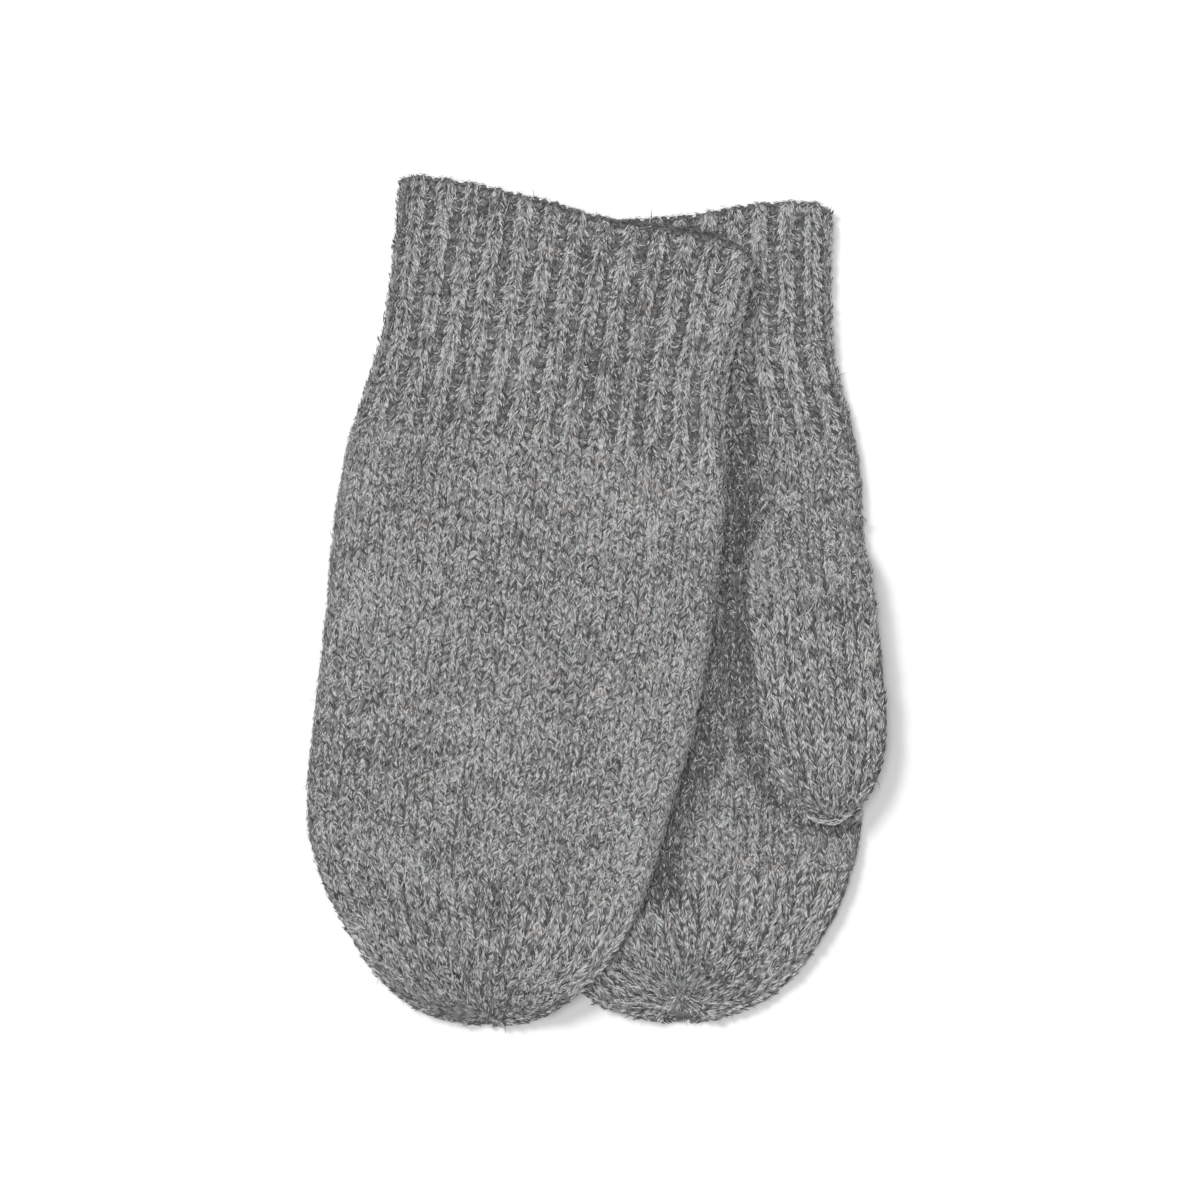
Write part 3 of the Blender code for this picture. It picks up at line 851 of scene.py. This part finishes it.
def yarnPiece(name, pattern, material, parts, seed):
    # A plain mesh with the pattern set on every point
    points, run, up, size, tone = [np.concatenate(group) for group in zip(*parts)]
    data = meshFrom(name + "Points", points, [])
    for label, kind, values, key in (
        ("run", "FLOAT_VECTOR", run, "vector"), ("up", "FLOAT_VECTOR", up, "vector"),
        ("size", "FLOAT_VECTOR", size * mm, "vector"), ("tone", "FLOAT", tone, "value"),
    ):
        attribute = data.attributes.new(label, kind, "POINT")
        attribute.data.foreach_set(key, np.ascontiguousarray(values, np.float32).ravel())
    source = newObject(name + "Points", data)
    piece = runTree(name, source, stitches, {
        "Leg": pattern, "Unevenness": knit["unevenness"], "Seed": seed, "Wool": material})
    bpy.data.objects.remove(source)
    for label in ("run", "up", "size"):
        if label in piece.data.attributes:
            piece.data.attributes.remove(piece.data.attributes[label])
    return piece


# The bars are drawn dark: painted shade for the rib valleys and the inside of the mouth, where they lie
barLook = {
    "wide": 1.1, "long": 1.8, "high": 0.30, "sink": 0.35, "inside": 0.2, "shake": 0.08, "sway": 0.5,
    "longSpread": (0.8, 1.2), "highSpread": (0.7, 1.2), "tone": (0.1, 0.4),
}


def bars(mitten, inside, end, shift, seed):
    # The purl side of the knit: short bars across, seen in the valleys of the rib and inside the mouth
    draw = np.random.default_rng(seed)
    place, column, length = courseGrid(mitten, knit["cuffStart"], end, knit["ribCourse"], knit["ribs"], shift)
    if inside:
        under = column > 0.5
        place, column, length = place[under], column[under], length[under]
    point, along, across, normal, turn, straight = frameAt(mitten, place, column)
    point = point - normal * (cloth["wall"] - barLook["inside"] if inside else barLook["sink"])
    normal = -normal if inside else normal
    count = len(place)
    return [
        point + draw.normal(0.0, barLook["shake"], (count, 3)),
        turned(across, normal, draw.normal(0.0, barLook["sway"], count)),
        normal,
        np.column_stack((
            barLook["wide"] * length,
            barLook["long"] * draw.uniform(*barLook["longSpread"], count),
            barLook["high"] * draw.uniform(*barLook["highSpread"], count))),
        draw.uniform(*barLook["tone"], count),
    ]


edgeLook = {
    "loops": 4, "place": 0.2, "shake": 0.08, "lean": (0.35, 0.2),  # loops to a rib, and the lean with its spread
    "wide": (1.1, 1.5), "long": 1.5, "high": (0.5, 0.75), "tone": (0.35, 0.65),
}


def mouthEdge(mitten, seed):
    # The first loops, which wrap over the open edge from the outside to the inside
    draw = np.random.default_rng(seed)
    count = knit["ribs"] * edgeLook["loops"]
    column = (np.arange(count) + 0.5) / count
    point, along, across, normal, turn, straight = frameAt(mitten, np.full(count, edgeLook["place"]), column)
    out = -along
    point = point - normal * (cloth["wall"] * 0.5)
    return [
        point + draw.normal(0.0, edgeLook["shake"], (count, 3)),
        turned(normal, out, draw.normal(*edgeLook["lean"], count)),
        out,
        np.column_stack((
            turn / count * draw.uniform(*edgeLook["wide"], count),
            np.full(count, cloth["wall"] * edgeLook["long"]),
            draw.uniform(*edgeLook["high"], count))),
        draw.uniform(*edgeLook["tone"], count),
    ]


def woolPieces(name, legs, extra, looks, seed):
    # The legs of the stitches, and the strands on them
    strands = [plyPoints(part, look, seed + 50 + index) for index, (part, look) in enumerate(zip(legs, looks))]
    strands += [plyPoints(part, barPlyLook, seed + 60 + index) for index, part in enumerate(extra)]
    return [
        yarnPiece(name + "_stitches", legPattern, stitchShadeWool, legs + extra, seed),
        yarnPiece(name + "_strands", plyPattern, strandWool, strands, seed),
    ]


def legsOn(surface, start, end, course, wales, look, extraTone, seed, shift=0.5):
    # Stitches over a length of the surface
    look = {**look, "tone": look["tone"] + extraTone}
    return legPoints(surface, *courseGrid(surface, start, end, course, wales, shift), wales, look, seed)


def cuffStitches(mitten, seed):
    start, end, inside = knit["cuffStart"], mitten.cuffEnd, knit["insideReach"]
    legs = legsOn(mitten, start, end, knit["ribCourse"], knit["ribs"], ribLook, mitten.cuffTone, seed, 0.0)
    extra = [
        bars(mitten, False, end, 0.5, seed + 1),
        bars(mitten, True, inside, 0.0, seed + 2),
        bars(mitten, True, inside, 0.5, seed + 4),
        mouthEdge(mitten, seed + 3),
    ]
    return woolPieces(mitten.name + "_cuff", [legs], extra, [ribPlyLook], seed)


def handStitches(mitten, seed):
    end = mitten.end - knit["tipLength"]
    legs = legsOn(mitten, mitten.cuffEnd, end, knit["course"], knit["wales"], legLook, 0.0, seed)
    return woolPieces(mitten.name + "_hand", [legs], [], [plyLook], seed)


def tipStitches(mitten, seed):
    start, end = mitten.end - knit["tipLength"], mitten.end + mitten.capLength
    legs = legsOn(mitten, start, end, knit["tipCourse"], knit["tipWales"], tipLook, mitten.tipPaintedLight, seed)
    return woolPieces(mitten.name + "_tip", [legs], [], [thumbPlyLook], seed)


def thumbStitches(thumb, seed):
    grid = courseGrid(thumb, 0.0, thumb.end + thumb.capLength, knit["thumbCourse"], knit["thumbWales"])
    ahead = grid[0] - knit["pickUp"] - knit["pickUpArch"] * (grid[1] - knit["pickUpTop"]) ** 2
    root, body = (
        legPoints(thumb, *[values[chosen] for values in grid], knit["thumbWales"], look, partSeed)
        for chosen, look, partSeed in ((ahead < 0.0, legLook, seed), (ahead >= 0.0, tipLook, seed + 10)))
    # The course after the pick-up line lies deeper, and is drawn darker: painted shade for its groove
    line = np.tile(ahead[ahead >= 0.0] < knit["thumbCourse"] * knit["pickUpWidth"], 2)
    body[4][line] = np.clip(body[4][line] + knit["pickUpShade"], 0.0, 1.0)
    body[0][line] -= body[2][line] * knit["pickUpSink"]
    return woolPieces(thumb.name + "_thumb", [root, body], [], [plyLook, thumbPlyLook], seed)


# Yarns that lie loose on the lower mitten: their points and their width
looseYarns = {
    "hand": [
        ([(46.0, 15.1, 5.2), (47.4, 15.9, 5.4), (48.8, 15.8, 4.9), (49.8, 15.1, 3.6)], 0.35),
    ],
    "thumb": [
        ([(37.1, 0.6, 9.1), (38.2, 2.0, 9.3), (39.6, 1.6, 9.4),
          (39.9, -0.4, 9.5), (38.6, -2.4, 9.6), (37.0, -3.1, 9.4)], 0.34),
        ([(38.8, -40.2, 8.2), (40.4, -41.3, 8.2), (42.6, -41.8, 8.2), (44.6, -41.5, 8.2), (46.4, -40.3, 8.2)], 0.62),
        ([(40.2, -40.8, 8.6), (42.2, -41.3, 8.7), (44.2, -41.0, 8.6)], 0.45),
    ],
}
looseLook = {**thumbPlyLook, "density": 3.0, "lift": 0.7, "length": (0.8, 1.4)}
looseLegs = {"spacing": 0.8, "size": (1.0, 2.4, 0.8), "tone": (0.55, 0.9)}  # spacing and size in widths of the yarn


def looseYarn(line, width, seed):
    # Short lengths of yarn end to end along a smooth curve
    draw = np.random.default_rng(seed)
    knots = lengthsAlong(line)
    count = max(4, int(knots[-1] / (width * looseLegs["spacing"])))
    places = np.linspace(0.0, knots[-1], count)
    points = spline(knots, line, places)
    run = unit(spline(knots, line, places + 0.05) - spline(knots, line, places - 0.05))
    up = np.tile((0.0, 0.0, 1.0), (count, 1))
    size = np.tile(width * np.array(looseLegs["size"]), (count, 1))
    return [points, run, up, size, draw.uniform(*looseLegs["tone"], count)]


def loosePieces(name, lines, seed):
    parts = [looseYarn(np.array(line), width, seed + index) for index, (line, width) in enumerate(lines)]
    return woolPieces(name + "_loose", parts, [], [looseLook] * len(parts), seed)


fuzzLook = {"Density": 160000.0, "Shortest": 1.2 * mm, "Longest": 3.6 * mm, "Lift": 0.35}


def fuzzPiece(name, source, seed):
    return runTree(name, source, fibres, {**fuzzLook, "Seed": seed, "Wool": fuzzWool})


def dress(name, part, base, extras, restsOn):
    # The cloth carries its stitches and fibres, and stands for its CAD node
    for piece in [base] + extras:
        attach(piece, "root")
        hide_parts(name + "_" + part)


upper = Mitten("upper", upperRows, upperFloor, cloth["mouthDepth"], upperMouth, tipTurn=2.0, creases=[],
               tone=0.5, cuffTone=-0.01, tipPaintedLight=0.0, seed=3)
# The lower tip is drawn lighter: painted light, where its end faces away from the lamps
lower = Mitten("lower", lowerRows, lowerFloor, cloth["foldDepth"], lowerMouth, tipTurn=7.0, creases=palmCreases,
               tone=0.46, cuffTone=0.05, tipPaintedLight=0.04, seed=8)

for mitten, up, below in ((lower, 1.0, ["floor"]), (upper, -1.0, ["lower_hand", "floor"])):
    name, seed, thumb = mitten.name, mitten.seed * 100, Thumb(mitten, up)
    cuffCloth = shell(name + "_cuff_cloth", mitten, 0.0, mitten.cuffEnd, "cuff", False)
    handCloth = shell(name + "_hand_cloth", mitten, mitten.cuffEnd, mitten.end, "hand", True)
    thumbCloth = shell(name + "_thumb_cloth", thumb, 0.0, thumb.end, "thumb", True)
    print(name, "cloth made")
    cuffExtras = cuffStitches(mitten, seed + 1) + [fuzzPiece(name + "_cuff_fuzz", cuffCloth, seed + 2)]
    handExtras = handStitches(mitten, seed + 3) + tipStitches(mitten, seed + 4)
    handExtras.append(fuzzPiece(name + "_hand_fuzz", handCloth, seed + 5))
    thumbExtras = thumbStitches(thumb, seed + 6) + [fuzzPiece(name + "_thumb_fuzz", thumbCloth, seed + 7)]
    if mitten is lower:
        handExtras += loosePieces("lower_hand", looseYarns["hand"], seed + 8)
        thumbExtras += loosePieces("lower_thumb", looseYarns["thumb"], seed + 9)
    print(name, "stitches and fibres made")
    dress(name, "cuff", cuffCloth, cuffExtras, below)
    dress(name, "hand", handCloth, handExtras, below)
    dress(name, "thumb", thumbCloth, thumbExtras, [name + "_hand"])

for pattern in [legPattern, plyPattern] + hairPatterns:
    bpy.data.objects.remove(pattern)

shadowed = bpy.data.collections.new("shadowed")  # what the side light shines on
floorLook = {"size": 12.0, "colour": (0.42, 0.42, 0.42), "glow": 0.15, "drop": 0.0005}


def makeFloor():
    half = floorLook["size"] / 2.0
    data = bpy.data.meshes.new("floor")
    corners = [(-half, -half, 0.0), (half, -half, 0.0), (half, half, 0.0), (-half, half, 0.0)]
    data.from_pydata(corners, [], [(0, 1, 2, 3)])
    material = bpy.data.materials.new("white_surface")
    material.use_nodes = True
    shader = material.node_tree.nodes["Principled BSDF"]
    shader.inputs["Base Color"].default_value = (*floorLook["colour"], 1.0)
    shader.inputs["Roughness"].default_value = 0.9
    shader.inputs["Specular IOR Level"].default_value = 0.0
    shader.inputs["Emission Color"].default_value = (1.0, 1.0, 1.0, 1.0)
    shader.inputs["Emission Strength"].default_value = floorLook["glow"]
    data.materials.append(material)
    floor = newObject("floor", data)
    shadowed.objects.link(floor)
    floor.location.z = -floorLook["drop"]
    floor.visible_diffuse = False  # it looks white, but throws no light back on the wool


makeFloor()

studio = {
    "sidePower": 80.0,  # throws the shadow on the surface
    "sideSize": 0.60,
    "sidePlace": (-1.00, 0.96, 2.30),
    "topPower": 42.0,  # lights the wool
    "topSize": 0.60,
    "topPlace": (-0.20, 0.15, 2.30),
    "worldStrength": 0.47,
    "below": 0.30,  # light from below the horizon, as from a dark table
    "cameraHeight": 0.9425,
    "lens": 150.0,
}


def makeStudio():
    for name in ("side", "top"):
        lamp = bpy.data.lights.new(name, "AREA")
        lamp.energy = studio[name + "Power"]
        lamp.size = studio[name + "Size"]
        light = newObject(name, lamp)
        place = np.array(studio[name + "Place"])
        light.location = place
        light.rotation_euler = (
            math.atan2(math.hypot(place[0], place[1]), place[2]), 0.0,
            math.atan2(place[1], place[0]) + math.pi / 2.0)
        if name == "side":
            light.light_linking.receiver_collection = shadowed
    world = bpy.data.worlds.new("studio")
    world.use_nodes = True
    sky = Wire(world.node_tree, None)
    direction = sky.make("ShaderNodeTexCoord", output="Generated")
    height = sky.make("ShaderNodeSeparateXYZ", {}, {0: direction}, output=2)
    below = (studio["below"],) * 3
    shade = sky.make("ShaderNodeValToRGB", {"stops": [(0.48, below), (0.50, (1.0, 1.0, 1.0))]},
                     {0: height * 0.5 + 0.5})
    background = world.node_tree.nodes["Background"]
    world.node_tree.links.new(shade.socket, background.inputs["Color"])
    background.inputs["Strength"].default_value = studio["worldStrength"]
    bpy.context.scene.world = world
    view = bpy.data.cameras.new("camera")
    view.lens = studio["lens"]
    view.sensor_width = 36.0
    view.clip_end = 20.0
    camera = newObject("camera", view)
    camera.location = (-pairMiddle[0] * mm, -pairMiddle[1] * mm, studio["cameraHeight"])
    bpy.context.scene.camera = camera
    bpy.context.scene.view_settings.view_transform = "Standard"


makeStudio()
print("studio made")
